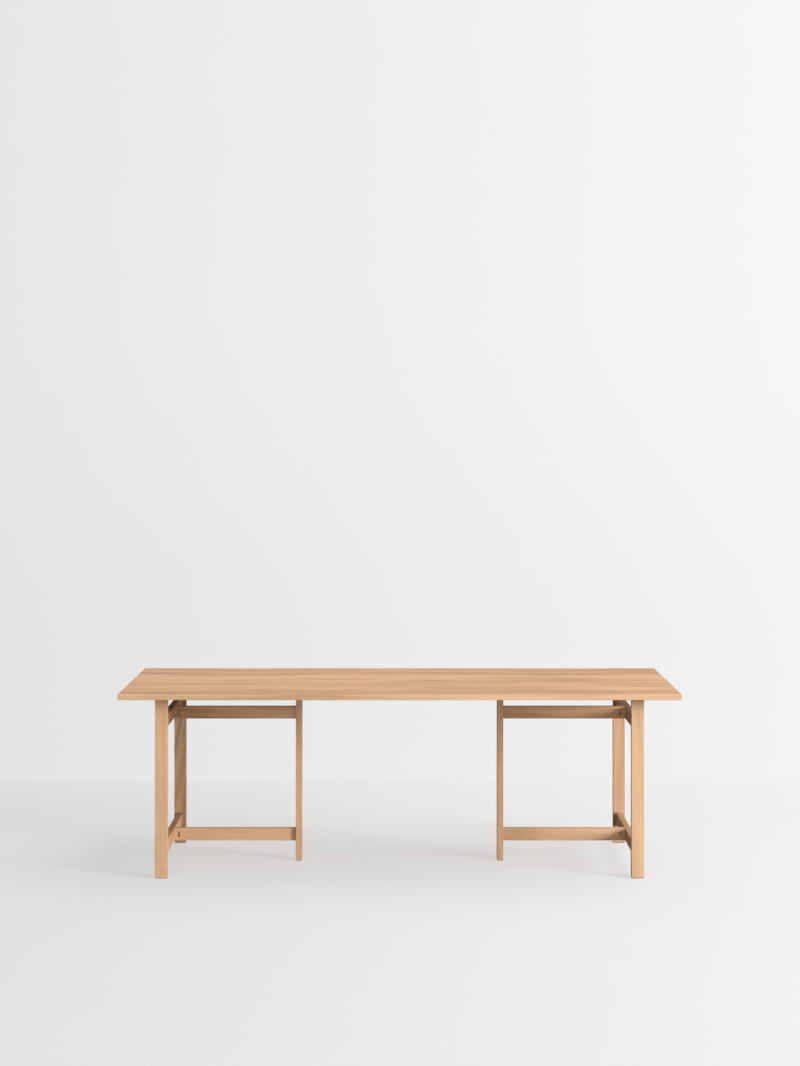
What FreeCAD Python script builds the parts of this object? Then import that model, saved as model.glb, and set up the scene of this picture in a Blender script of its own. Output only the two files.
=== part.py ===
import FreeCAD, Part

import math
import os

# Top: full-length boards glued edge to edge, loose on the trestles
top_length = 2200.0
top_depth = 900.0
top_thickness = 24.0
top_edge_ease = 1.0
board_count = 7
table_height = 735.0

# Trestle stock: every leg and rail is planed to one section
stock_width = 50.0
stock_thickness = 25.0
stock_edge_ease = 1.0
foot_chamfer = 0.8

# Where the trestles and their rails stand
end_overhang = 137.5
front_overhang = 75.0
stem_rail_length = 500.0
rail_end_inset = 79.0

# Mortise and tenon wherever a rail meets a leg
tenon_thickness = 10.0
tenon_shoulder = 7.0
tenon_length = 16.0
mortise_spare = 1.0
glue_gap = 0.1

# Bolt that pulls a stem rail against its cross rail
bolt_diameter = 8.0
bolt_clearance = 0.4
bolt_head_diameter = 17.0
bolt_head_height = 2.5
bolt_head_recess = 0.5
bolt_socket_flats = 5.0
bolt_socket_depth = 3.5
bolt_tail = 0.5

# Half-moon pocket in the stem rail, with its washer and thin nut
pocket_end_wall = 15.0
pocket_radius = 15.0
pocket_corner_radius = 2.5
pocket_spare = 0.5
washer_thickness = 3.2
washer_width = 16.0
washer_seat_gap = 0.1
nut_thickness = 4.0
nut_flats = 13.0
thread_gap = 0.05

# Stub tenon round the bolt, which keeps the joint from turning and still comes apart
stub_thickness = 17.0
stub_length = 8.0
stub_gap = 0.2

# Felt glide under each foot and rubber pad on each leg top
glide_thickness = 1.5
glide_inset = 1.5
glide_corner_cut = 2.0
pad_thickness = 1.5
pad_length = 30.0
pad_width = 15.0

# Steel channels let into the underside of the top, across the boards
channel_width = 38.0
channel_height = 12.0
channel_wall = 3.0
channel_end_inset = 80.0
channel_fit = 0.3
screw_head_sink = 0.2
screw_diameter = 5.0
screw_bite = 12.0
screw_head_diameter = 9.5
screw_head_height = 2.4
screw_slot_play = 1.0
screw_slot_travel = 6.0
screw_gap = 0.05
screw_hole_spare = 1.0

# Heights and places that follow from the sizes above
leg_foot = glide_thickness
leg_length = table_height - top_thickness - pad_thickness - glide_thickness
leg_top = leg_foot + leg_length
underside = table_height - top_thickness
lower_rail_height = leg_foot + rail_end_inset + stock_width / 2
upper_rail_height = leg_top - rail_end_inset - stock_width / 2
rail_heights = {"lower": lower_rail_height, "upper": upper_rail_height}

# Along X the right trestle runs from its end legs inward to its inner leg
cross_rail_x = top_length / 2 - end_overhang - stock_width / 2
joint_face_x = cross_rail_x - stock_thickness / 2
inner_leg_face_x = joint_face_x - stem_rail_length
inner_leg_x = inner_leg_face_x - stock_thickness / 2
leg_row_y = top_depth / 2 - front_overhang - stock_thickness / 2
cross_rail_length = 2 * leg_row_y - stock_thickness

# Fits shared by the two sides of a joint
tenon_height = stock_width - 2 * tenon_shoulder
bolt_radius = bolt_diameter / 2
bolt_hole_radius = bolt_radius + bolt_clearance
counterbore_depth = bolt_head_height + bolt_head_recess
pocket_width = washer_thickness + nut_thickness + bolt_tail + pocket_spare
pocket_depth = stock_thickness / 2 + washer_width / 2 + pocket_spare
pocket_apex_x = joint_face_x - pocket_end_wall
screw_radius = screw_diameter / 2
screw_length = channel_wall + screw_bite
channel_recess = screw_head_height + screw_head_sink
channel_face = underside + channel_recess

# Boards from front to rear, and the channels and screws that follow from them
board_width = top_depth / board_count
screw_rows = [(index + 0.5) * board_width - top_depth / 2 for index in range(1, board_count - 1, 2)]
stem_middle_x = (joint_face_x + inner_leg_face_x) / 2
stiffener_places = {"left": -stem_middle_x, "middle": 0.0, "right": stem_middle_x}

x_axis = FreeCAD.Vector(1, 0, 0)
y_axis = FreeCAD.Vector(0, 1, 0)
z_axis = FreeCAD.Vector(0, 0, 1)


def point(x, y, z):
    return FreeCAD.Vector(x, y, z)


def prism(wire, sweep):
    """Solid swept from a closed flat wire along a vector."""
    return Part.Face(wire).extrude(sweep)


def rectangle(centre, across, width, along, height):
    """Closed wire, width along one unit vector and height along the other."""
    corners = []
    for side, end in [(1, 1), (-1, 1), (-1, -1), (1, -1), (1, 1)]:
        corners.append(centre + across * (side * width / 2) + along * (end * height / 2))
    return Part.makePolygon(corners)


def eased_rectangle(centre, across, width, along, height, ease):
    """Rectangle whose corners are cut off at 45 degrees, ease from each corner."""
    corners = []
    for quarter, (side, end) in enumerate([(1, 1), (-1, 1), (-1, -1), (1, -1)]):
        on_side = across * (side * width / 2) + along * (end * (height / 2 - ease))
        on_end = across * (side * (width / 2 - ease)) + along * (end * height / 2)
        corners += [on_end, on_side] if quarter % 2 else [on_side, on_end]
    corners = [centre + corner for corner in corners]
    return Part.makePolygon(corners + corners[:1])


def round_slot(centre, along, length, across, width):
    """Closed wire of a slot with half-round ends."""
    reach = along * (length / 2 - width / 2)
    half = across * (width / 2)
    tip = along * (length / 2)
    far_end = Part.Arc(centre + reach + half, centre + tip, centre + reach - half).toShape()
    near_end = Part.Arc(centre - reach - half, centre - tip, centre - reach + half).toShape()
    far_side = Part.makeLine(centre + reach - half, centre - reach - half)
    near_side = Part.makeLine(centre - reach + half, centre + reach + half)
    return Part.Wire([far_end, far_side, near_end, near_side])


def half_moon(apex, inward, depth, radius):
    """Closed wire of an upright circle segment: its arc touches the apex, its flat side lies inward."""
    half_chord = math.sqrt(radius ** 2 - (radius - depth) ** 2)
    flat = apex + inward * depth
    upper = flat + z_axis * half_chord
    lower = flat - z_axis * half_chord
    return Part.Wire([Part.Arc(lower, apex, upper).toShape(), Part.makeLine(upper, lower)])


def hexagon(centre, first_corner, second_axis, flats):
    """Closed hexagon wire whose first corner lies along a unit vector."""
    reach = flats / math.sqrt(3)
    corners = []
    for step in range(7):
        angle = math.radians(60 * step)
        corners.append(centre + (first_corner * math.cos(angle) + second_axis * math.sin(angle)) * reach)
    return Part.makePolygon(corners)


def turned(origin, axis, radial, outline):
    """Solid of revolution; the outline lists (distance along the axis, radius) from end to end."""
    points = [origin + axis * along + radial * radius for along, radius in outline]
    profile = Part.Face(Part.makePolygon(points + points[:1]))
    return profile.revolve(origin, axis, 360)


def stock_section(centre, direction, broad, inset):
    """Closed wire of the trestle stock's section, drawn in from every side by the inset."""
    width = stock_width - 2 * inset
    thickness = stock_thickness - 2 * inset
    return eased_rectangle(centre, broad, width, direction.cross(broad), thickness, stock_edge_ease)


def bar(start, direction, length, broad):
    """Length of trestle stock with eased edges; broad is the unit vector across its wide face."""
    return prism(stock_section(start, direction, broad, 0), direction * length)


def tenon(root, direction, thickness, length, gap):
    """Tenon standing on a rail's end, or its mortise when a gap is given."""
    side = direction.cross(z_axis)
    outline = rectangle(root, side, thickness + 2 * gap, z_axis, tenon_height + 2 * gap)
    return prism(outline, direction * length)


def leg(x, y, facing):
    """Leg with a chamfered foot, and a mortise for each rail in the broad face that looks along facing."""
    broad = facing.cross(z_axis)
    foot = point(x, y, leg_foot)
    ankle = foot + z_axis * foot_chamfer
    sole = stock_section(foot, z_axis, broad, foot_chamfer)
    post = Part.makeLoft([sole, stock_section(ankle, z_axis, broad, 0)], True, True)
    post = post.fuse(bar(ankle, z_axis, leg_length - foot_chamfer, broad))
    for height in rail_heights.values():
        mouth = point(x, y, height) + facing * (stock_thickness / 2)
        depth = tenon_length + mortise_spare
        post = post.cut(tenon(mouth, facing * -1, tenon_thickness, depth, glue_gap))
    return post.removeSplitter()


def bolt_hole(height):
    """Hole from the cross rail's outer face into the stem rail's pocket."""
    reach = stock_thickness + pocket_end_wall + pocket_width / 2
    mouth = point(cross_rail_x + stock_thickness / 2, 0, height)
    return Part.makeCylinder(bolt_hole_radius, reach, mouth, x_axis * -1)


def cross_rail(height):
    """Rail between front and rear leg, tenoned at both ends, mortised and bored for the stem rail."""
    half = cross_rail_length / 2
    rail = bar(point(cross_rail_x, -half, height), y_axis, cross_rail_length, z_axis)
    for direction in (y_axis, y_axis * -1):
        root = point(cross_rail_x, 0, height) + direction * half
        rail = rail.fuse(tenon(root, direction, tenon_thickness, tenon_length, 0))
    outer_face = point(cross_rail_x + stock_thickness / 2, 0, height)
    head_radius = bolt_head_diameter / 2 + bolt_clearance
    counterbore = Part.makeCylinder(head_radius, counterbore_depth, outer_face, x_axis * -1)
    mouth = point(joint_face_x, 0, height)
    mortise = tenon(mouth, x_axis, stub_thickness, stub_length + mortise_spare, stub_gap)
    return rail.cut([counterbore, mortise, bolt_hole(height)]).removeSplitter()


def pocket(height):
    """Half-moon pocket from the front face, its corners left round by the cutter."""
    apex = point(pocket_apex_x, -stock_thickness / 2, height)
    block = prism(half_moon(apex, x_axis * -1, pocket_width, pocket_radius), y_axis * pocket_depth)
    flat_x = pocket_apex_x - pocket_width
    reach = pocket_corner_radius / 2
    corners = []
    for edge in block.Edges:
        box = edge.BoundBox
        if box.YLength > reach and box.XMax < flat_x + reach:
            corners.append(edge)
    return block.makeFillet(pocket_corner_radius, corners)


def stem_rail(height):
    """Rail from the cross rail inward to the inner leg, with the pocket for washer and nut."""
    inner_end = point(inner_leg_face_x, 0, height)
    outer_end = point(joint_face_x, 0, height)
    rail = bar(inner_end, x_axis, stem_rail_length, z_axis)
    rail = rail.fuse(tenon(inner_end, x_axis * -1, tenon_thickness, tenon_length, 0))
    rail = rail.fuse(tenon(outer_end, x_axis, stub_thickness, stub_length, 0))
    return rail.cut([pocket(height), bolt_hole(height)]).removeSplitter()


def joint_bolt(height):
    """Connector bolt with a flat head and a hexagon socket, driven from the outer face."""
    head_top = point(cross_rail_x + stock_thickness / 2 - bolt_head_recess, 0, height)
    nut_end_x = pocket_apex_x - washer_thickness - nut_thickness
    tip = head_top.x - nut_end_x + bolt_tail
    outline = [
        (0, 0),
        (0, bolt_head_diameter / 2),
        (bolt_head_height, bolt_head_diameter / 2),
        (bolt_head_height, bolt_radius),
        (tip, bolt_radius),
        (tip, 0),
    ]
    bolt = turned(head_top, x_axis * -1, z_axis, outline)
    socket = prism(hexagon(head_top, z_axis, y_axis, bolt_socket_flats), x_axis * -bolt_socket_depth)
    return bolt.cut(socket)


def half_moon_washer(height):
    """Washer whose round back seats on the pocket's end wall and whose flat side carries the nut."""
    apex = point(pocket_apex_x - washer_seat_gap, -washer_width / 2, height)
    back_radius = pocket_radius - washer_seat_gap
    outline = half_moon(apex, x_axis * -1, washer_thickness - washer_seat_gap, back_radius)
    body = prism(outline, y_axis * washer_width)
    hole_end = point(pocket_apex_x, 0, height)
    return body.cut(Part.makeCylinder(bolt_hole_radius, pocket_width, hole_end, x_axis * -1))


def hex_nut(height):
    """Thin nut on the washer's flat side, two of its corners pointing up and down."""
    seat = point(pocket_apex_x - washer_thickness, 0, height)
    block = prism(hexagon(seat, z_axis, y_axis, nut_flats), x_axis * -nut_thickness)
    return block.cut(Part.makeCylinder(bolt_radius + thread_gap, nut_thickness, seat, x_axis * -1))


def foot_glide(x, y, broad):
    """Felt glide, a little smaller than the foot above it."""
    width = stock_width - 2 * glide_inset
    depth = stock_thickness - 2 * glide_inset
    thin = broad.cross(z_axis)
    outline = eased_rectangle(point(x, y, 0), broad, width, thin, depth, glide_corner_cut)
    return prism(outline, z_axis * glide_thickness)


def top_pad(x, y, broad):
    """Thin rubber pad between a leg's upper end and the top."""
    outline = rectangle(point(x, y, leg_top), broad, pad_length, broad.cross(z_axis), pad_width)
    return prism(outline, z_axis * pad_thickness)


def right_trestle():
    """Every piece of the right trestle by name."""
    pieces = {}
    stands = {
        "front": (cross_rail_x, -leg_row_y, y_axis),
        "rear": (cross_rail_x, leg_row_y, y_axis * -1),
        "inner": (inner_leg_x, 0, x_axis),
    }
    for place, (x, y, facing) in stands.items():
        broad = facing.cross(z_axis)
        pieces[place + "_leg"] = leg(x, y, facing)
        pieces[place + "_foot_glide"] = foot_glide(x, y, broad)
        pieces[place + "_top_pad"] = top_pad(x, y, broad)
    for level, height in rail_heights.items():
        pieces[level + "_cross_rail"] = cross_rail(height)
        pieces[level + "_stem_rail"] = stem_rail(height)
    heights = rail_heights.values()
    pieces["joint_bolts"] = Part.makeCompound([joint_bolt(height) for height in heights])
    pieces["half_moon_washers"] = Part.makeCompound([half_moon_washer(height) for height in heights])
    pieces["hex_nuts"] = Part.makeCompound([hex_nut(height) for height in heights])
    return pieces


def channel_prism(x, mouth, grow):
    """Channel lying web down from the height of its mouth, grown by a fit where it is the groove."""
    outer = channel_width / 2 + grow
    inner = channel_width / 2 - channel_wall - grow
    web = channel_face + channel_wall + grow
    rim = channel_face + channel_height + grow
    right_half = [(outer, mouth), (outer, rim), (inner, rim), (inner, web)]
    outline = right_half + [(-across, height) for across, height in reversed(right_half)]
    front_end = channel_end_inset - top_depth / 2 - grow
    corners = [point(x + across, front_end, height) for across, height in outline]
    length = top_depth - 2 * channel_end_inset + 2 * grow
    return prism(Part.makePolygon(corners + corners[:1]), y_axis * length)


def stiffener(x):
    """Channel with a slot over each screw, so that the boards can swell and shrink."""
    width = screw_diameter + screw_slot_play
    slots = []
    for y in screw_rows:
        outline = round_slot(point(x, y, channel_face), y_axis, width + screw_slot_travel, x_axis, width)
        slots.append(prism(outline, z_axis * channel_wall))
    return channel_prism(x, channel_face, 0).cut(slots)


def stiffener_screw(x, y):
    """Low-headed wood screw through a channel's slot into one board."""
    head_radius = screw_head_diameter / 2
    outline = [
        (-screw_head_height, 0),
        (-screw_head_height, head_radius),
        (0, head_radius),
        (0, screw_radius),
        (screw_length, screw_radius),
        (screw_length, 0),
    ]
    return turned(point(x, y, channel_face), z_axis, x_axis, outline)


def top_boards():
    """The glued-up top, eased all round and grooved underneath, parted again at its glue lines."""
    corner = point(-top_length / 2, -top_depth / 2, underside)
    panel = Part.makeBox(top_length, top_depth, top_thickness, corner)
    panel = panel.makeChamfer(top_edge_ease, panel.Edges)
    hole_radius = screw_radius + screw_gap
    hole_depth = screw_length + screw_hole_spare
    cuts = []
    for x in stiffener_places.values():
        cuts.append(channel_prism(x, underside, channel_fit))
        for y in screw_rows:
            cuts.append(Part.makeCylinder(hole_radius, hole_depth, point(x, y, channel_face), z_axis))
    panel = panel.cut(cuts)
    boards = {}
    for index in range(board_count):
        front_corner = corner + y_axis * board_width * index
        slab = Part.makeBox(top_length, board_width, top_thickness, front_corner)
        boards["top_board_%d" % (index + 1)] = panel.common(slab)
    return boards


nodes = top_boards()
for place, x in stiffener_places.items():
    nodes[place + "_stiffener"] = stiffener(x)
screws = [stiffener_screw(x, y) for x in stiffener_places.values() for y in screw_rows]
nodes["stiffener_screws"] = Part.makeCompound(screws)
for name, shape in right_trestle().items():
    nodes["right_" + name] = shape
    nodes["left_" + name] = shape.mirror(point(0, 0, 0), x_axis)

os.makedirs("parts", exist_ok=True)
for name, shape in nodes.items():
    shape.exportStep("parts/" + name + ".step")
    state = "valid" if shape.isValid() else "not valid"
    print(name, len(shape.Solids), "solid(s)", state, round(shape.Volume), "mm3")
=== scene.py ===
import math

import bmesh
import bpy
from mathutils import Matrix, Vector


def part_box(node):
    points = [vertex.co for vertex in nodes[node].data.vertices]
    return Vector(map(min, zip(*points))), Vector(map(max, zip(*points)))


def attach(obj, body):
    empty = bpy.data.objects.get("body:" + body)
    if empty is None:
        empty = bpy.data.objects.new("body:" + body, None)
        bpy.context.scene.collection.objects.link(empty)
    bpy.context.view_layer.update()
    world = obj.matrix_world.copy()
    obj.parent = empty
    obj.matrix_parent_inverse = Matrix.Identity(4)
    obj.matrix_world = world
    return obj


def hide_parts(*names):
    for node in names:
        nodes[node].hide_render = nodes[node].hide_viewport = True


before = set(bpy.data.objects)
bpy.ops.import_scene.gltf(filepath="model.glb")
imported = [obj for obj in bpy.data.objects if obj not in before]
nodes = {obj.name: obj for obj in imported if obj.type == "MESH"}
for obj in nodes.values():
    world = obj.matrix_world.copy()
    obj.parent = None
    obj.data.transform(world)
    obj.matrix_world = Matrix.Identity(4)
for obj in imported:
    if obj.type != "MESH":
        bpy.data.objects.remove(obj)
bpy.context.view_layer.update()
scene = bpy.context.scene


# a socket that can stand in a sum: each operator adds a Math node to the same material
class Level:
    def __init__(self, paint, socket):
        self.paint = paint
        self.socket = socket

    def at(self, output):  # another output of the same node
        return Level(self.paint, self.socket.node.outputs[output])

    def math(self, operation, first, second=0.0):
        return self.paint.node("Math", {"operation": operation}, {0: first, 1: second})

    def __add__(self, other):
        return self.math("ADD", self, other)

    def __radd__(self, other):
        return self.math("ADD", other, self)

    def __sub__(self, other):
        return self.math("SUBTRACT", self, other)

    def __rsub__(self, other):
        return self.math("SUBTRACT", other, self)

    def __mul__(self, other):
        return self.math("MULTIPLY", self, other)

    def __rmul__(self, other):
        return self.math("MULTIPLY", other, self)

    def __truediv__(self, other):
        return self.math("DIVIDE", self, other)

    def __pow__(self, other):
        return self.math("POWER", self, other)

    def __abs__(self):
        return self.math("ABSOLUTE", self)

    def fract(self):
        return self.math("FRACT", self)

    def root(self):
        return self.math("SQRT", self)

    def least(self, other):
        return self.math("MINIMUM", self, other)

    def most(self, other):
        return self.math("MAXIMUM", self, other)

    def between(self, low, high):  # 0 below low, 1 above high, smooth in the middle
        settings = {"interpolation_type": "SMOOTHSTEP"}
        return self.paint.node("MapRange", settings, {"Value": self, "From Min": low, "From Max": high})


# the nodes of one material, or of the world
class Paint:
    def __init__(self, holder):
        self.holder = holder
        holder.use_nodes = True
        self.tree = holder.node_tree
        self.tree.nodes.clear()

    def node(self, kind, settings=None, inputs=None, output=0):
        made = self.tree.nodes.new("ShaderNode" + kind)
        for key, value in (settings or {}).items():
            setattr(made, key, value)
        for key, value in (inputs or {}).items():
            if isinstance(value, Level):
                self.tree.links.new(value.socket, made.inputs[key])
            else:
                made.inputs[key].default_value = value
        return Level(self, made.outputs[output]) if made.outputs else None

    def mix(self, factor, first, second, blend="MIX"):
        first, second = (c if isinstance(c, Level) else (*c, 1) for c in (first, second))
        settings = {"data_type": "RGBA", "blend_type": blend}
        return self.node("Mix", settings, {0: factor, 6: first, 7: second}, 2)

    def mixShader(self, factor, first, second):
        return self.node("MixShader", None, {0: factor, 1: first, 2: second})

    def vector(self, x, y, z):
        return self.node("CombineXYZ", None, {0: x, 1: y, 2: z})

    def noise(self, spot, scale=1.0, detail=2.0, roughness=0.5):
        return self.node("TexNoise", None, {
            "Vector": spot, "Scale": scale, "Detail": detail, "Roughness": roughness})

    def bump(self, strength, distance, height):
        return self.node("Bump", None, {"Strength": strength, "Distance": distance, "Height": height})

    def finish(self, **sockets):
        names = {key.replace("_", " "): value for key, value in sockets.items()}
        shader = self.node("BsdfPrincipled", None, names)
        self.node("OutputMaterial", None, {"Surface": shader})
        return self.holder


def newPaint(name):
    return Paint(bpy.data.materials.new(name))


def dress(nodeName, material):
    slots = nodes[nodeName].data.materials
    slots.clear()
    slots.append(material)


# oiled oak, cut out of a log: rings round a pith line, rays, pores and fibre, all as solid texture
oak = {
    "pale": (0.82, 0.517, 0.310),
    "deep": (0.38, 0.205, 0.097),
    "honey": (1.03, 0.995, 0.95),  # tints, laid over the wood's own colour
    "blush": (0.985, 1.00, 1.06),
    "paleSheen": (0.56, 0.42, 0.28),  # painted sheen: a paler, greyer oak where the lamp's sheen falls
    "pore": (0.27, 0.140, 0.065),
    "ray": (0.76, 0.50, 0.31),
    "endGrain": (0.40, 0.225, 0.115),
    "middleTone": 0.52,
    "wander": 0.016,
    "ripple": 0.005,
    "ringGap": 0.0034,
    "ringSway": 2.2,
    "earlyFade": 2.5,
    "ringStart": 7,  # sets each piece in rings of its own
    "rayFineness": (42, 150),
    "rayCut": (0.66, 0.76),
    "poreCut": (0.56, 0.70),
    "poreRows": 0.65,  # the share of the pores that stands in the early wood alone
    "hueCut": (0.3, 0.7),
    "faceCut": (0.55, 0.95),
    "edgeWidth": 0.0022,
    "roughness": 0.62,
    "shine": 0.03,
    "bumpStrength": 0.6,
    "bumpHeight": 0.00012,
}
# noise along the grain: how fine it is lengthwise and crosswise, per metre, and its detail
oakGrain = {
    "drift": (1.3, 2.5, 1.5),
    "ripple": (8, 9, 1.5),
    "cloud": (2.6, 16, 2.0),
    "streak": (5, 140, 2.0),
    "fibre": (14, 620, 2.5),
    "pore": (75, 2100, 1.0),
}
# noise along the rings: how fine it is outward, lengthwise and round the pith, and its detail
oakYears = {"zone": (34, 1.7, 0.5, 1.5), "band": (95, 1.2, 0.4, 3.0)}
# how much each mark does to the tone, the colour, the roughness and the height of the surface
oakTone = {"band": 0.59, "zone": 0.50, "streak": 0.36, "cloud": 0.36, "fibre": 0.14, "early": 0.06}
# the edge share of the colour darkens the eased edges: painted shade
oakCover = {"ray": 0.30, "pore": 0.55, "cut": 0.75, "edge": 0.10, "endEarly": 0.6, "endPore": 0.4}
oakRough = {"pore": 0.2, "fibre": 0.16, "cut": 0.18, "edge": 0.06}
oakHeight = {"fibre": 0.5, "early": 0.35}


def oakMaterial(name, grain, box, wood):
    paint = newPaint(name)
    low, high = box
    order = {"X": "XYZ", "Y": "YXZ", "Z": "ZXY"}[grain]
    picks = ["XYZ".index(axis) for axis in order]
    centre = [(low[i] + high[i]) / 2 for i in picks]
    half = [(high[i] - low[i]) / 2 for i in picks]
    spot = paint.node("SeparateXYZ", None, {0: paint.node("TexCoord", output="Object")})
    along, side, up = (spot.at(axis) - middle for axis, middle in zip(order, centre))
    slide = along + wood["slide"]
    slope = side + along * wood["lean"]

    def grainNoise(kind, across, roughness=0.5):
        lengthwise, crosswise, detail = oakGrain[kind]
        place = paint.vector(slide * lengthwise, across * crosswise, up * crosswise)
        return paint.noise(place, detail=detail, roughness=roughness)

    # the pith line wanders along the piece, slowly and in short ripples
    drift = paint.node("SeparateColor", None, {0: grainNoise("drift", side).at("Color")})
    ripple = paint.node("SeparateColor", None, {0: grainNoise("ripple", side).at("Color")})
    sideways = slope - wood["pith"][0] + (drift.at("Red") - 0.5) * (2 * oak["wander"])
    sideways = sideways + (ripple.at("Red") - 0.5) * (2 * oak["ripple"])
    upward = up - wood["pith"][1] + (drift.at("Green") - 0.5) * (2 * oak["wander"])
    upward = upward + (ripple.at("Green") - 0.5) * (2 * oak["ripple"])
    radius = (sideways * sideways + upward * upward).root()
    turn = paint.node("Math", {"operation": "ARCTAN2"}, {0: sideways, 1: upward})

    def yearNoise(kind, roughness=0.5):
        outward, lengthwise, around, detail = oakYears[kind]
        start = wood["slide"] * oak["ringStart"]
        place = paint.vector(radius * outward + start, slide * lengthwise, turn * around)
        return paint.noise(place, detail=detail, roughness=roughness)

    # zones and bands are good and bad years together, rings the single years
    zone = yearNoise("zone")
    band = yearNoise("band", roughness=0.55)
    ring = (radius / oak["ringGap"] + band * oak["ringSway"]).fract()
    early = (1 - ring) ** oak["earlyFade"]
    cloud = grainNoise("cloud", slope)
    hue = paint.node("SeparateColor", None, {0: cloud.at("Color")}).at("Blue")
    streak = grainNoise("streak", slope)
    fibre = grainNoise("fibre", slope, roughness=0.6)
    pore = grainNoise("pore", slope).between(*oak["poreCut"])
    pore = pore * ((1 - oak["poreRows"]) + oak["poreRows"] * early)
    rayLength, rayDepth = oak["rayFineness"]
    raySpot = paint.vector(slide * rayLength, radius * rayDepth, turn * wood["rayTurn"])
    ray = paint.noise(raySpot, detail=1.0).between(*oak["rayCut"])

    # faces that cut across the grain, the two narrow sides of a board, and the eased edges
    facing = paint.node("SeparateXYZ", None, {0: paint.node("TexCoord", output="Normal")})
    cut = abs(facing.at(order[0])).between(*oak["faceCut"])
    flank = abs(facing.at(order[1])).between(*oak["faceCut"])
    rim = [(abs(value) - (reach - oak["edgeWidth"])) / oak["edgeWidth"]
           for value, reach in zip((along, side, up), half)]
    edge = rim[0].least(rim[1]).most(rim[1].least(rim[2])).most(rim[0].least(rim[2])).between(0.0, 1.0)

    figure = (band - 0.5) * oakTone["band"] + (zone - 0.5) * oakTone["zone"]
    figure = (figure + (streak - 0.5) * oakTone["streak"]) * wood["figure"]
    tone = oak["middleTone"] + wood["tone"] + figure + (cloud - 0.5) * oakTone["cloud"]
    tone = tone + (fibre - 0.5) * oakTone["fibre"] - early * oakTone["early"]
    # painted light and shade: the narrow sides are lifted, and the tone ramps along the piece
    tone = tone + flank * wood.get("flankLight", 0) + along * wood.get("fade", 0)
    colour = paint.mix(tone.most(0).least(1), oak["deep"], oak["pale"])
    tint = paint.mix((hue + wood.get("hue", 0)).between(*oak["hueCut"]), oak["honey"], oak["blush"])
    colour = paint.mix(1.0, colour, tint, "MULTIPLY")
    # painted sheen: the narrow sides, and some whole pieces, are paled toward the sheen colour
    colour = paint.mix(flank * wood.get("flankSheen", 0) + wood.get("paleSheen", 0), colour, oak["paleSheen"])
    colour = paint.mix(ray * oakCover["ray"], colour, oak["ray"])
    colour = paint.mix(pore * oakCover["pore"], colour, oak["pore"])
    endMarks = early * oakCover["endEarly"] + pore * oakCover["endPore"]
    endColour = paint.mix(endMarks, oak["endGrain"], oak["pore"])
    colour = paint.mix(cut * oakCover["cut"], colour, endColour)
    # painted shade: the eased edges darken toward the deep colour
    colour = paint.mix(edge * oakCover["edge"], colour, oak["deep"])
    rough = oak["roughness"] + pore * oakRough["pore"] + (fibre - 0.5) * oakRough["fibre"]
    rough = rough + cut * oakRough["cut"] - edge * oakRough["edge"]
    height = fibre * oakHeight["fibre"] - pore - early * oakHeight["early"]
    bump = paint.bump(oak["bumpStrength"], oak["bumpHeight"], height)
    return paint.finish(Base_Color=colour, Roughness=rough, Normal=bump, Specular_IOR_Level=oak["shine"])


# the loose top: tone is lighter above 0, pith is where the log's heart lies from the board's middle
topBoards = {
    "top_board_1": {"tone": -0.17, "pith": (0.020, -0.060), "lean": 0.016, "figure": 1.4,
                    "slide": 1.7, "rayTurn": 60, "flankLight": 0.26, "flankSheen": 0.22},
    "top_board_2": {"tone": 0.01, "pith": (-0.035, -0.085), "lean": -0.014, "figure": 1.3,
                    "slide": 5.2, "rayTurn": 80},
    "top_board_3": {"tone": -0.04, "pith": (0.045, 0.070), "lean": 0.018, "figure": 1.3,
                    "slide": 9.6, "rayTurn": 70},
    "top_board_4": {"tone": 0.00, "pith": (-0.010, -0.110), "lean": -0.017, "figure": 1.3,
                    "slide": 12.9, "rayTurn": 90},
    "top_board_5": {"tone": 0.12, "pith": (0.030, -0.075), "lean": 0.015, "figure": 1.2,
                    "slide": 16.4, "rayTurn": 75},
    "top_board_6": {"tone": -0.10, "pith": (-0.025, 0.065), "lean": -0.016, "figure": 1.4,
                    "slide": 21.3, "rayTurn": 65},
    "top_board_7": {"tone": -0.07, "pith": (0.015, -0.095), "lean": 0.014, "figure": 1.3,
                    "slide": 26.8, "rayTurn": 85, "flankLight": 0.10, "flankSheen": 0.20},
}
topHue = 0.1
for boardName, board in topBoards.items():
    wood = dict(board, hue=topHue)
    dress(boardName, oakMaterial("oak_" + boardName, "X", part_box(boardName), wood))
print("top:", len(topBoards), "boards oiled")

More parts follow.
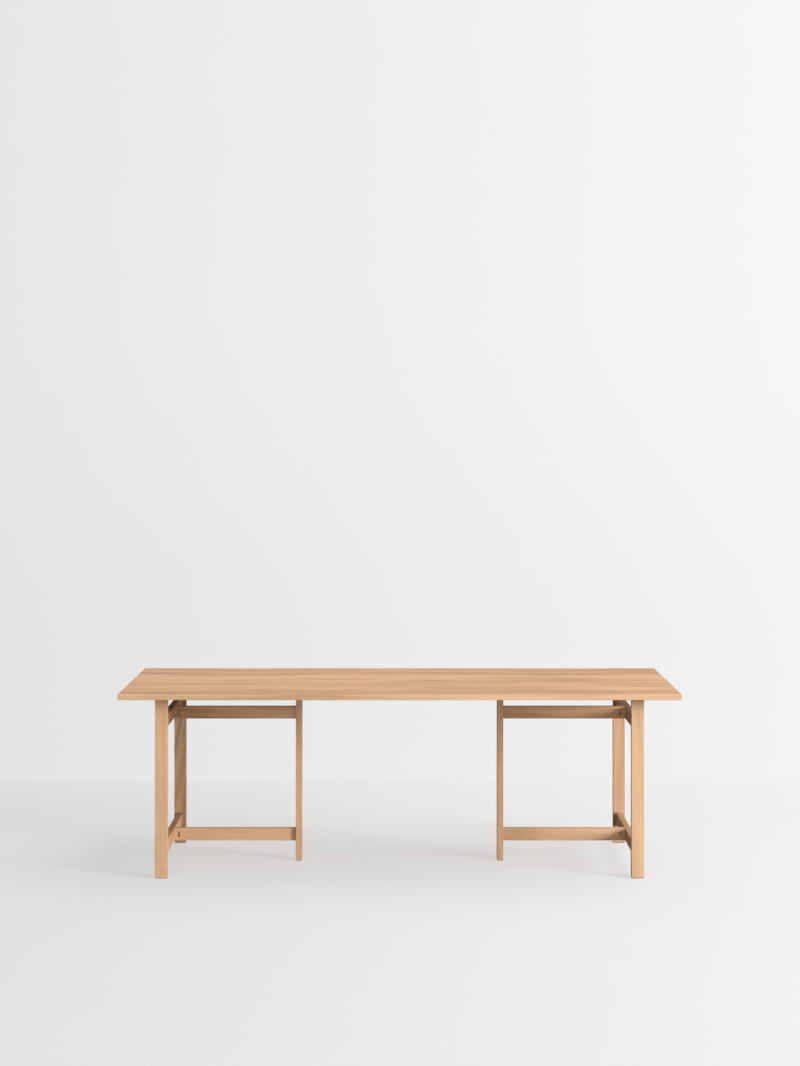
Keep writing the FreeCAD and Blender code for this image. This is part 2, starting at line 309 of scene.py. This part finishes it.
# legs and rails; apart from pith, two values together are the left and the right trestle's; the tone ramp
# along a piece is painted light and shade
# the rails' warmer hue is painted warm light bounced under the tabletop
trestleWood = {
    "front_leg": {"grain": "Z", "pith": (0.050, -0.055), "tone": (0.165, 0.25), "figure": (0.4, 1.1),
                  "paleSheen": (0, 0.25), "lean": (0.020, 0.020), "fade": (0, 0.28)},
    "rear_leg": {"grain": "Z", "pith": (0.035, -0.045), "tone": (0.21, 0.05), "figure": (2.4, 1.1),
                 "hue": (-0.08, 0.08), "lean": (-0.180, -0.030)},
    "inner_leg": {"grain": "Z", "pith": (0.045, 0.040), "tone": (0.165, 0.13), "figure": (0.9, 0.9),
                  "lean": (0.040, 0.040), "fade": (0.42, -0.10)},
    # painted shade: the left cross rails' low tone, lifted again on their sides, darkens their top faces
    "upper_cross_rail": {"grain": "Y", "pith": (-0.050, 0.020), "tone": (-0.38, -0.21), "figure": (0.9, 0.9),
                         "hue": (-0.2, -0.2), "lean": (0.020, 0.020), "flankLight": (0.18, 0)},
    "lower_cross_rail": {"grain": "Y", "pith": (0.045, 0.010), "tone": (-0.30, -0.11), "figure": (0.9, 0.9),
                         "hue": (-0.1, -0.1), "lean": (-0.020, -0.020), "flankLight": (0.28, 0)},
    "upper_stem_rail": {"grain": "X", "pith": (0.030, 0.046), "tone": (0.035, 0.10), "figure": (1.6, 1.4),
                        "hue": (-0.2, -0.25), "lean": (0.050, 0.050), "fade": (-0.15, 0.55)},
    "lower_stem_rail": {"grain": "X", "pith": (0.040, -0.048), "tone": (0.22, 0.085), "figure": (0.9, 0.8),
                        "hue": (-0.08, 0), "lean": (-0.055, -0.055), "fade": (0, 0.60)},
}
trestlePairs = ("tone", "figure", "paleSheen", "hue", "lean", "fade", "flankLight")
trestleLog = {"perPiece": 3.7, "perSide": 31.3, "first": 0.9, "rayTurn": 70}  # where each piece was cut
for sideIndex, sideName in enumerate(("left", "right")):
    for pieceIndex, (pieceName, pair) in enumerate(trestleWood.items()):
        nodeName = sideName + "_" + pieceName
        slide = trestleLog["perPiece"] * pieceIndex + trestleLog["perSide"] * sideIndex + trestleLog["first"]
        wood = dict(pair, slide=slide, rayTurn=trestleLog["rayTurn"])
        wood.update({key: pair[key][sideIndex] for key in trestlePairs if key in pair})
        dress(nodeName, oakMaterial("oak_" + nodeName, wood["grain"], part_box(nodeName), wood))
print("trestles:", 2 * len(trestleWood), "legs and rails oiled")


# plated steel, with crystals, stains and fine scratches
plate = {
    "bright": (0.93, 0.76, 0.57),
    "dull": (0.75, 0.60, 0.43),
    "spanglesPerMetre": 700,
    "stainsPerMetre": 160,
    "scratchesPerMetre": 2600,
    "spangleShare": 0.4,
    "stainShare": 0.5,
    "stainCut": (0.35, 0.75),
    "roughness": 0.40,
    "stainRoughness": 0.22,
    "bumpStrength": 0.3,
    "bumpHeight": 0.00003,
}


def zincMaterial():
    paint = newPaint("yellow_zinc_plate")
    spot = paint.node("TexCoord", output="Object")
    spangle = paint.node("TexVoronoi", None, {"Vector": spot, "Scale": plate["spanglesPerMetre"]}, "Color")
    grey = paint.node("RGBToBW", None, {0: spangle})
    stain = paint.noise(spot, plate["stainsPerMetre"], 3).between(*plate["stainCut"])
    dulled = grey * plate["spangleShare"] + stain * plate["stainShare"]
    colour = paint.mix(dulled, plate["bright"], plate["dull"])
    rough = plate["roughness"] + stain * plate["stainRoughness"]
    scratch = paint.noise(spot, plate["scratchesPerMetre"], 2)
    bump = paint.bump(plate["bumpStrength"], plate["bumpHeight"], scratch + grey)
    return paint.finish(Base_Color=colour, Metallic=1.0, Roughness=rough, Normal=bump)


# dark finishes, worn lighter in patches; peel is the grain of the surface
darkFinishes = {
    "black_oxide": {
        "dark": (0.022, 0.022, 0.024), "worn": (0.075, 0.073, 0.070), "patchesPerMetre": 320,
        "grainsPerMetre": 3000, "bumpHeight": 0.00003, "roughness": 0.40, "metal": 0.85},
    "browned_steel": {
        "dark": (0.110, 0.064, 0.036), "worn": (0.24, 0.150, 0.090), "patchesPerMetre": 320,
        "grainsPerMetre": 3000, "bumpHeight": 0.00003, "roughness": 0.46, "metal": 0.4},
    "channel_coating": {
        "dark": (0.024, 0.024, 0.026), "worn": (0.042, 0.042, 0.044), "patchesPerMetre": 45,
        "grainsPerMetre": 1100, "bumpHeight": 0.00008, "roughness": 0.52, "metal": 0.0},
    "pad_rubber": {
        "dark": (0.018, 0.018, 0.018), "worn": (0.050, 0.049, 0.047), "patchesPerMetre": 210,
        "grainsPerMetre": 2400, "bumpHeight": 0.00006, "roughness": 0.74, "metal": 0.0},
}
darkWear = {"patchCut": (0.3, 0.8), "patchRoughness": 0.25, "peelRoughness": 0.12, "bumpStrength": 0.5}


def darkMaterial(name):
    finish = darkFinishes[name]
    paint = newPaint(name)
    spot = paint.node("TexCoord", output="Object")
    patch = paint.noise(spot, finish["patchesPerMetre"], 3)
    peel = paint.noise(spot, finish["grainsPerMetre"], 2)
    colour = paint.mix(patch.between(*darkWear["patchCut"]), finish["dark"], finish["worn"])
    rough = finish["roughness"] + (patch - 0.5) * darkWear["patchRoughness"]
    rough = rough + (peel - 0.5) * darkWear["peelRoughness"]
    bump = paint.bump(darkWear["bumpStrength"], finish["bumpHeight"], peel)
    return paint.finish(Base_Color=colour, Metallic=finish["metal"], Roughness=rough, Normal=bump)


# pressed felt: tangled wool with single pale hairs
wool = {
    "brown": (0.115, 0.076, 0.050),
    "shade": (0.060, 0.040, 0.027),
    "fleck": (0.21, 0.15, 0.105),
    "tanglesPerMetre": 1500,
    "tangleCut": (0.3, 0.7),
    "hair": {"Scale": 420, "Distortion": 18, "Detail": 3, "Detail Scale": 2.5},
    "hairCut": (0.86, 1.0),
    "hairShare": 0.5,
    "roughness": 0.94,
    "tangleRoughness": 0.1,
    "sheen": 0.35,
    "bumpStrength": 0.9,
    "bumpHeight": 0.0004,
}


def feltMaterial():
    paint = newPaint("pressed_felt")
    spot = paint.node("TexCoord", output="Object")
    tangle = paint.noise(spot, wool["tanglesPerMetre"], 4, 0.7)
    hair = paint.node("TexWave", {"wave_type": "BANDS"}, dict(wool["hair"], Vector=spot), "Fac")
    colour = paint.mix(tangle.between(*wool["tangleCut"]), wool["shade"], wool["brown"])
    colour = paint.mix(hair.between(*wool["hairCut"]) * wool["hairShare"], colour, wool["fleck"])
    rough = wool["roughness"] - tangle * wool["tangleRoughness"]
    bump = paint.bump(wool["bumpStrength"], wool["bumpHeight"], tangle + hair * wool["hairShare"])
    return paint.finish(Base_Color=colour, Roughness=rough, Normal=bump, Sheen_Weight=wool["sheen"])


zinc = zincMaterial()
blackOxide = darkMaterial("black_oxide")
brownedSteel = darkMaterial("browned_steel")
coating = darkMaterial("channel_coating")
rubber = darkMaterial("pad_rubber")
felt = feltMaterial()
for placeName in ("left", "middle", "right"):
    dress(placeName + "_stiffener", coating)
for sideName in ("left", "right"):
    dress(sideName + "_half_moon_washers", brownedSteel)
print("metal: channels coated, washers browned")


# faces from loop to loop; the first and the last loop are capped, or joined to each other
def joinLoops(shape, loops, closed=False):
    count = len(loops[0])
    following = loops[1:] + loops[:1] if closed else loops[1:]
    for near, far in zip(loops, following):
        for step in range(count):
            after = (step + 1) % count
            shape.faces.new((near[step], near[after], far[after], far[step]))
    if not closed:
        shape.faces.new(loops[0])
        shape.faces.new(loops[-1])


# rings of points round an axis; a radius can be a function of angle and place
def addLathe(shape, rings, place, turn=48, closed=False):
    loops = []
    for along, radius in rings:
        loop = []
        for step in range(turn):
            angle = 2 * math.pi * step / turn
            reach = radius(angle, along) if callable(radius) else radius
            spot = Vector((reach * math.cos(angle), reach * math.sin(angle), along))
            loop.append(shape.verts.new(place @ spot))
        loops.append(loop)
    joinLoops(shape, loops, closed)


def hexagonReach(flats):
    def reach(angle, along):
        return flats / 2 / math.cos(angle % (math.pi / 3) - math.pi / 6)
    return reach


def trimmedHexagon(flats, limit):
    reach = hexagonReach(flats)
    return lambda angle, along: min(reach(angle, along), limit)


def crossReach(length, width):
    hair = 1e-9  # keeps the divisions below from meeting 0

    def reach(angle, along):
        across, upright = abs(math.cos(angle)) + hair, abs(math.sin(angle)) + hair
        return max(min(length / across, width / upright), min(length / upright, width / across))
    return reach


def threadReach(crest, depth, pitch, start, end):
    steepness = 1.25  # above 1 leaves a flat on the crest

    def reach(angle, along):
        wave = abs(2 * ((along / pitch - angle / (2 * math.pi)) % 1) - 1)
        fade = min(1, (along - start) / pitch, (end - along) / pitch)
        return crest - depth * (1 - max(fade, 0) * min(1, steepness * wave))
    return reach


def finishPiece(shape, name, material, body, replaced, sharp=32):
    bmesh.ops.recalc_face_normals(shape, faces=shape.faces)
    mesh = bpy.data.meshes.new(name)
    shape.to_mesh(mesh)
    shape.free()
    mesh.shade_smooth()
    mesh.set_sharp_from_angle(angle=math.radians(sharp))
    piece = bpy.data.objects.new(name, mesh)
    scene.collection.objects.link(piece)
    mesh.materials.append(material)
    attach(piece, body)
    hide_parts(replaced)


# joint bolts and thin nuts, drawn pointing inward from the cross rail's outer face
boltLow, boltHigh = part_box("right_joint_bolts")
nutLow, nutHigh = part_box("right_hex_nuts")
joint = {
    "heights": (boltLow.z + boltHigh.y, boltHigh.z - boltHigh.y),
    "headTopX": boltHigh.x,
    "headRadius": boltHigh.y,
    "headHeight": 0.0025,
    "headRound": 0.0006,
    "socketFlats": 0.005,
    "socketDepth": 0.0035,
    "socketFlare": 1.12,
    "flareDepth": 0.0003,
    "drillPoint": 0.0006,  # how far the drill went on below the socket
    "drillTip": 0.0002,
    "shankRadius": 0.004,
    "neckWidth": 0.0002,
    "neckLength": 0.0003,
    "length": boltHigh.x - boltLow.x,
    "tipLength": 0.0006,
    "threadLength": 0.019,
    "threadDepth": 0.0006,
    "threadRunIn": 0.0002,
    "pitch": 0.00125,
    "ringsPerTurn": 6,
    "nutSeat": boltHigh.x - nutHigh.x,
    "nutThickness": nutHigh.x - nutLow.x,
    "nutFlats": nutHigh.y - nutLow.y,
    "nutChamfer": ((0, 0.0062), (0.0003, 0.0068), (0.0008, 0.0077)),  # widest radius at each depth
    "nutBore": 0.00405,
    "boreChamfer": 0.0005,
}


def jointPlace(sideName, height):
    turned = Matrix.Rotation(math.radians(-90), 4, "Y")
    spun = Matrix.Rotation(math.radians(180), 4, "Z") if sideName == "left" else Matrix.Identity(4)
    return spun @ Matrix.Translation((joint["headTopX"], 0, height)) @ turned


def boltRings():
    head, lip, under = joint["headRadius"], joint["headRound"], joint["headHeight"]
    shank, depth = joint["shankRadius"], joint["socketDepth"]
    socket = hexagonReach(joint["socketFlats"])
    flare = hexagonReach(joint["socketFlats"] * joint["socketFlare"])
    rings = [(depth + joint["drillPoint"], joint["drillTip"]), (depth, socket)]
    rings += [(joint["flareDepth"], socket), (0, flare)]
    rings += [(0, head - lip), (lip * 0.3, head - lip * 0.3), (lip, head), (under, head)]
    rings += [(under, shank + joint["neckWidth"]), (under + joint["neckLength"], shank)]
    start = joint["length"] - joint["threadLength"]
    end = joint["length"] - joint["tipLength"]
    rings += [(start - joint["threadRunIn"], shank)]
    thread = threadReach(shank, joint["threadDepth"], joint["pitch"], start, end)
    steps = round((end - start) / (joint["pitch"] / joint["ringsPerTurn"]))
    rings += [(start + (end - start) * step / steps, thread) for step in range(steps + 1)]
    rings += [(joint["length"], shank - 2 * joint["threadDepth"])]
    return rings


def nutRings():
    flats, thick = joint["nutFlats"], joint["nutThickness"]
    bore, cut = joint["nutBore"], joint["boreChamfer"]
    outline = list(joint["nutChamfer"])
    outline += [(thick - along, limit) for along, limit in reversed(outline)]
    rings = [(along, trimmedHexagon(flats, limit)) for along, limit in outline]
    rings += [(thick, bore + cut), (thick - cut, bore), (cut, bore), (0, bore + cut)]
    return [(joint["nutSeat"] + along, radius) for along, radius in rings]


for sideName in ("left", "right"):
    bolts, nuts = bmesh.new(), bmesh.new()
    for height in joint["heights"]:
        place = jointPlace(sideName, height)
        addLathe(bolts, boltRings(), place)
        addLathe(nuts, nutRings(), place, closed=True)
    trestle = sideName + "_trestle"
    finishPiece(bolts, sideName + "_threaded_bolts", zinc, trestle, sideName + "_joint_bolts")
    finishPiece(nuts, sideName + "_chamfered_nuts", zinc, trestle, sideName + "_hex_nuts")
print("joints: bolts threaded, nuts chamfered")

# low-headed screws that hold the channels, three to each
screwLow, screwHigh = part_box("stiffener_screws")
screw = {
    "headRadius": 0.00475,
    "headHeight": 0.0024,
    "dome": ((0, 0.60), (0.0002, 0.80), (0.0007, 0.94), (0.0014, 1.0)),  # depth, share of the radius
    "recessReach": 0.0024,
    "recessWidth": 0.0005,
    "recessDepth": 0.0016,
    "recessTip": 0.0001,
    "recessFloor": (0.9, 0.55, 0.8),  # shares of its depth, reach and width
    "shankRadius": 0.0025,
    "length": 0.015,
    "tipLength": 0.004,
    "tipRings": 12,
    "threadStart": 0.003,
    "threadRunIn": 0.0003,
    "threadDepth": 0.0008,
    "threadRings": 30,
    "pitch": 0.0022,
}
screwRows = [screwLow.y + screw["headRadius"], 0.0, screwHigh.y - screw["headRadius"]]
screwColumns = [screwLow.x + screw["headRadius"], 0.0, screwHigh.x - screw["headRadius"]]


def screwRings():
    head, shank, length = screw["headRadius"], screw["shankRadius"], screw["length"]
    top, depth = -screw["headHeight"], screw["recessDepth"]
    deep, shorter, narrower = screw["recessFloor"]
    cross = crossReach(screw["recessReach"], screw["recessWidth"])
    floorCross = crossReach(screw["recessReach"] * shorter, screw["recessWidth"] * narrower)
    rings = [(top + depth, screw["recessTip"]), (top + depth * deep, floorCross), (top, cross)]
    rings += [(top + fall, head * share) for fall, share in screw["dome"]]
    rings += [(0, head), (0, shank)]
    start, end = screw["threadStart"], length - screw["tipLength"]
    thread = threadReach(shank, screw["threadDepth"], screw["pitch"], start, length)

    def tip(angle, along):
        return thread(angle, along) * (length - along) / screw["tipLength"]

    threadRings, tipRings = screw["threadRings"], screw["tipRings"]
    rings += [(start - screw["threadRunIn"], shank - screw["threadDepth"])]
    rings += [(start + (end - start) * step / threadRings, thread) for step in range(threadRings + 1)]
    rings += [(end + screw["tipLength"] * step / tipRings, tip) for step in range(1, tipRings)]
    return rings


screws = bmesh.new()
for x in screwColumns:
    for y in screwRows:
        addLathe(screws, screwRings(), Matrix.Translation((x, y, screwLow.z + screw["headHeight"])))
finishPiece(screws, "cross_head_screws", blackOxide, "table_top", "stiffener_screws")
print("channels: screws cut with cross heads and threads")


# a block of felt with soft edges and a ragged wall
glide = {
    "corner": 0.004,
    "cornerPoints": 12,
    "round": 0.0005,
    "ragged": 0.00025,
    "raggedTurn": (7.31, 4.17),  # how far the ragged wave turns from point to point and level to level
    "raggedStart": (90, 70),  # and where it starts, per metre of the foot's place
}


def roundedOutline(halfX, halfY, corner, points):
    outline = []
    for quarter, (signX, signY) in enumerate(((1, 1), (-1, 1), (-1, -1), (1, -1))):
        for step in range(points):
            angle = math.pi / 2 * (quarter + step / (points - 1))
            outline.append((signX * (halfX - corner) + corner * math.cos(angle),
                            signY * (halfY - corner) + corner * math.sin(angle)))
    return outline


def feltGlide(nodeName, body):
    low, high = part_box(nodeName)
    middle, half, thick = (low + high) / 2, (high - low) / 2, high.z - low.z
    soft, ragged = glide["round"], glide["ragged"]
    outline = roundedOutline(half.x - ragged, half.y - ragged, glide["corner"], glide["cornerPoints"])
    levels = [(0, soft), (soft * 0.3, soft * 0.3), (soft, 0)]
    levels += [(thick * 0.5, 0), (thick - soft * 0.5, 0), (thick, soft * 0.4)]
    pointTurn, levelTurn = glide["raggedTurn"]
    startX, startY = glide["raggedStart"]
    shape = bmesh.new()
    loops = []
    for levelIndex, (rise, inset) in enumerate(levels):
        start = levelIndex * levelTurn + middle.x * startX + middle.y * startY
        loop = []
        for index, (x, y) in enumerate(outline):
            wave = ragged * math.sin(index * pointTurn + start)
            shrink = 1 - (inset - wave) / math.hypot(x, y)
            loop.append(shape.verts.new((middle.x + x * shrink, middle.y + y * shrink, low.z + rise)))
        loops.append(loop)
    joinLoops(shape, loops)
    finishPiece(shape, nodeName.replace("foot_glide", "felt_foot"), felt, body, nodeName, sharp=60)


# a ribbed rubber strip between a leg and the top; rib places are shares of the ribs' spacing
pad = {"ribs": 5, "groove": 0.0005, "endRound": 0.0004, "ribTop": (0.2, 0.875), "ribFoot": 0.125}


def rubberPad(nodeName, body):
    low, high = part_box(nodeName)
    size = high - low
    lengthwise = size.x > size.y
    wide, length = min(size.x, size.y), max(size.x, size.y)
    spacing, grooveFloor = wide / pad["ribs"], size.z - pad["groove"]
    ribStart, ribEnd = pad["ribTop"]
    profile = [(0, 0), (wide, 0), (wide, grooveFloor)]
    for rib in reversed(range(pad["ribs"])):
        start = spacing * rib
        profile += [(start + spacing * ribEnd, size.z), (start + spacing * ribStart, size.z)]
        if rib:
            profile += [(start + spacing * pad["ribFoot"], grooveFloor), (start, grooveFloor)]
    profile += [(0, grooveFloor)]
    soft = pad["endRound"]
    shape = bmesh.new()
    loops = []
    for distance, inset in ((0, soft), (soft, 0), (length - soft, 0), (length, soft)):
        loop = []
        for across, rise in profile:
            x, y = (distance, across) if lengthwise else (across, distance)
            loop.append(shape.verts.new((low.x + x, low.y + y, low.z + min(rise, size.z - inset))))
        loops.append(loop)
    joinLoops(shape, loops)
    finishPiece(shape, nodeName.replace("top_pad", "ribbed_pad"), rubber, body, nodeName)


for sideName in ("left", "right"):
    for legName in ("front", "rear", "inner"):
        feltGlide(sideName + "_" + legName + "_foot_glide", sideName + "_trestle")
        rubberPad(sideName + "_" + legName + "_top_pad", sideName + "_trestle")
print("feet: felt glides and ribbed pads set")


# pale studio: a wide floor and, behind the table, a plain wall seen only from its front
studio = {
    "floorReach": 14.0,
    "wallY": 1.95,
    "wallTop": 7.0,
    "wallReach": 7.0,
    "pale": (0.775, 0.85, 0.885),  # cool where lit, as much as the glow is warm: only shadows look warm, with painted warm bounce light
    "glowTint": (1.045, 1.00, 0.98),
    "plainTint": (1, 1, 1),
    "bounce": (0.10, 0.10, 0.10),
    "shadowShare": 0.247,
    "litReach": (3.3, 6.0),  # how far from the middle lamps and shadows start and end to fade
    "floorGlow": (0.621, 0.859),  # brightness at the left and at the right
    "farGlow": (0.74, 0.93),
    "wallGlow": (0.739, 0.926),
    "glowReach": 3.0,
    "specksPerMetre": 3.0,
    "speckShare": 0.05,
    "farBand": (0.7, 1.9),  # painted light: between these the floor's left brightens toward the wall
    "farLift": 0.20,
    "wallRise": (0.6, 2.4),  # painted light: between these the wall brightens upward
    "wallLift": 0.16,
    "skyReach": 0.21,  # the sky goes on from the far floor's look, this far to each side as a direction
}


# 1 where a ray looks straight at a surface or by way of a shiny one, 0 where it only carries light
def looking(paint):
    path = paint.node("LightPath", output="Is Camera Ray")
    return path.most(path.at("Is Glossy Ray")).most(path.at("Is Transmission Ray"))


# an even pale look with painted light that brightens from left to right and, on the wall, upward
def glowShader(paint, levels, tint, farLift=0.0):
    spot = paint.node("TexCoord", output="Object")
    across = paint.node("SeparateXYZ", None, {0: spot})
    speck = paint.noise(spot, studio["specksPerMetre"], 3) - 0.5
    rise = across.at("Z").between(*studio["wallRise"]) * studio["wallLift"]
    factor = across / (2 * studio["glowReach"]) + 0.5 + rise + speck * studio["speckShare"]
    factor = factor.most(0).least(1)
    factor = factor + (1 - factor) * across.at("Y").between(*studio["farBand"]) * farLift
    left, right = ([level * share for share in tint] for level in levels)
    left, right = (paint.node("Emission", None, {"Color": (*glow, 1)}) for glow in (left, right))
    return paint.mixShader(factor, left, right)


def floorMaterial():
    paint = newPaint("studio_floor")
    lit = paint.node("BsdfDiffuse", None, {"Color": (*studio["pale"], 1)})
    dim = paint.node("BsdfDiffuse", None, {"Color": (*studio["bounce"], 1)})
    glow = glowShader(paint, studio["floorGlow"], studio["glowTint"], studio["farLift"])
    far = glowShader(paint, studio["farGlow"], studio["plainTint"])
    spot = paint.node("SeparateXYZ", None, {0: paint.node("TexCoord", output="Object")})
    away = (spot * spot + spot.at("Y") * spot.at("Y")).root().between(*studio["litReach"])
    near = paint.mixShader(studio["shadowShare"], glow, lit)
    seen = paint.mixShader(away, near, far)
    paint.node("OutputMaterial", None, {"Surface": paint.mixShader(looking(paint), dim, seen)})
    return paint.holder


def backdropMaterial():
    paint = newPaint("studio_backdrop")
    behind = paint.node("NewGeometry", output="Backfacing")
    glow = glowShader(paint, studio["wallGlow"], studio["plainTint"])
    clear = paint.node("BsdfTransparent")
    paint.node("OutputMaterial", None, {"Surface": paint.mixShader(behind, glow, clear)})
    return paint.holder


def stageSheet(name, corners, material):
    mesh = bpy.data.meshes.new(name)
    mesh.from_pydata(corners, [], [(0, 1, 2, 3)])
    mesh.materials.append(material)
    piece = bpy.data.objects.new(name, mesh)
    scene.collection.objects.link(piece)
    return piece


reach = studio["floorReach"]
corners = [(-reach, -reach, 0), (reach, -reach, 0), (reach, reach, 0), (-reach, reach, 0)]
stageSheet("studio_floor", corners, floorMaterial())

reach, back, top = studio["wallReach"], studio["wallY"], studio["wallTop"]
corners = [(-reach, back, 0), (reach, back, 0), (reach, back, top), (-reach, back, top)]
backdrop = stageSheet("studio_backdrop", corners, backdropMaterial())
backdrop.visible_shadow = False
backdrop.visible_diffuse = False
backdrop.visible_glossy = False
backdrop.visible_transmission = False

# soft light from panels; rise holds the sines of the angles between which a panel begins or ends
panels = {
    "ceiling": {"level": 2.98, "rise": (0.60, 0.75), "lean": 1.08},
    "strip": {"level": 3.83, "rise": (0.06, 0.14)},
    "front": {"level": 0.55, "rise": (0.40, 0.55)},
    "rear": {"level": 2.6, "rise": (0.10, 0.30)},
}
scene.world = bpy.data.worlds.new("studio_world")
air = Paint(scene.world)
aim = air.node("SeparateXYZ", None, {0: air.node("TexCoord", output="Generated")})


def whiteSky(level):
    return air.node("Background", None, {"Color": (1, 1, 1, 1), "Strength": level})


def panelLight(name, share):
    above = aim.at("Z").between(*panels[name]["rise"])
    share = share * (above if name == "ceiling" else 1 - above)
    return air.mixShader(share, whiteSky(0), whiteSky(panels[name]["level"]))


ahead, behind = (0 - aim.at("Y")).most(0), aim.at("Y").most(0)
light = panelLight("ceiling", (aim.at("X") / panels["ceiling"]["lean"] + 0.5).most(0).least(1))
for panelName, share in (("strip", ahead), ("front", ahead), ("rear", behind)):
    light = air.node("AddShader", None, {0: light, 1: panelLight(panelName, share)})
across = (aim.at("X") / (2 * studio["skyReach"]) + 0.5).most(0).least(1)
leftSky, rightSky = (whiteSky(level) for level in studio["farGlow"])
seen = air.mixShader(across, leftSky, rightSky)
air.node("OutputWorld", None, {"Surface": air.mixShader(looking(air), light, seen)})

# one large soft lamp from the right and the front; level is a white card's brightness at the target
keyLamp = {"target": (0.0, 0.0, 0.45), "place": (9.0, -5.58, 3.24), "size": (3.06, 3.6), "level": 1.08}
lamp = bpy.data.lights.new("key_lamp", "AREA")
lamp.shape = "RECTANGLE"
lamp.size, lamp.size_y = keyLamp["size"]
lampObject = bpy.data.objects.new("key_lamp", lamp)
lampObject.location = keyLamp["place"]
toLamp = Vector(keyLamp["place"]) - Vector(keyLamp["target"])
lamp.energy = keyLamp["level"] * (math.pi * toLamp.length) ** 2
lampObject.rotation_euler = toLamp.to_track_quat("Z", "Y").to_euler()
lampObject.visible_camera = False
scene.collection.objects.link(lampObject)
print("studio: floor, backdrop and lamp set")

# level camera in front of the middle, with the picture slid down to the table
camera = {"place": (0.0, -8.8029, 1.7684), "lens": 72.34, "sensor": 36, "shift": (0.0004, -0.0975)}
lens = bpy.data.cameras.new("front_camera")
lens.lens = camera["lens"]
lens.sensor_width = camera["sensor"]
lens.shift_x, lens.shift_y = camera["shift"]
cameraObject = bpy.data.objects.new("front_camera", lens)
cameraObject.location = camera["place"]
cameraObject.rotation_euler = (math.radians(90), 0, 0)
scene.collection.objects.link(cameraObject)
scene.camera = cameraObject
scene.view_settings.view_transform = "Standard"
print("camera: placed in front of the table")
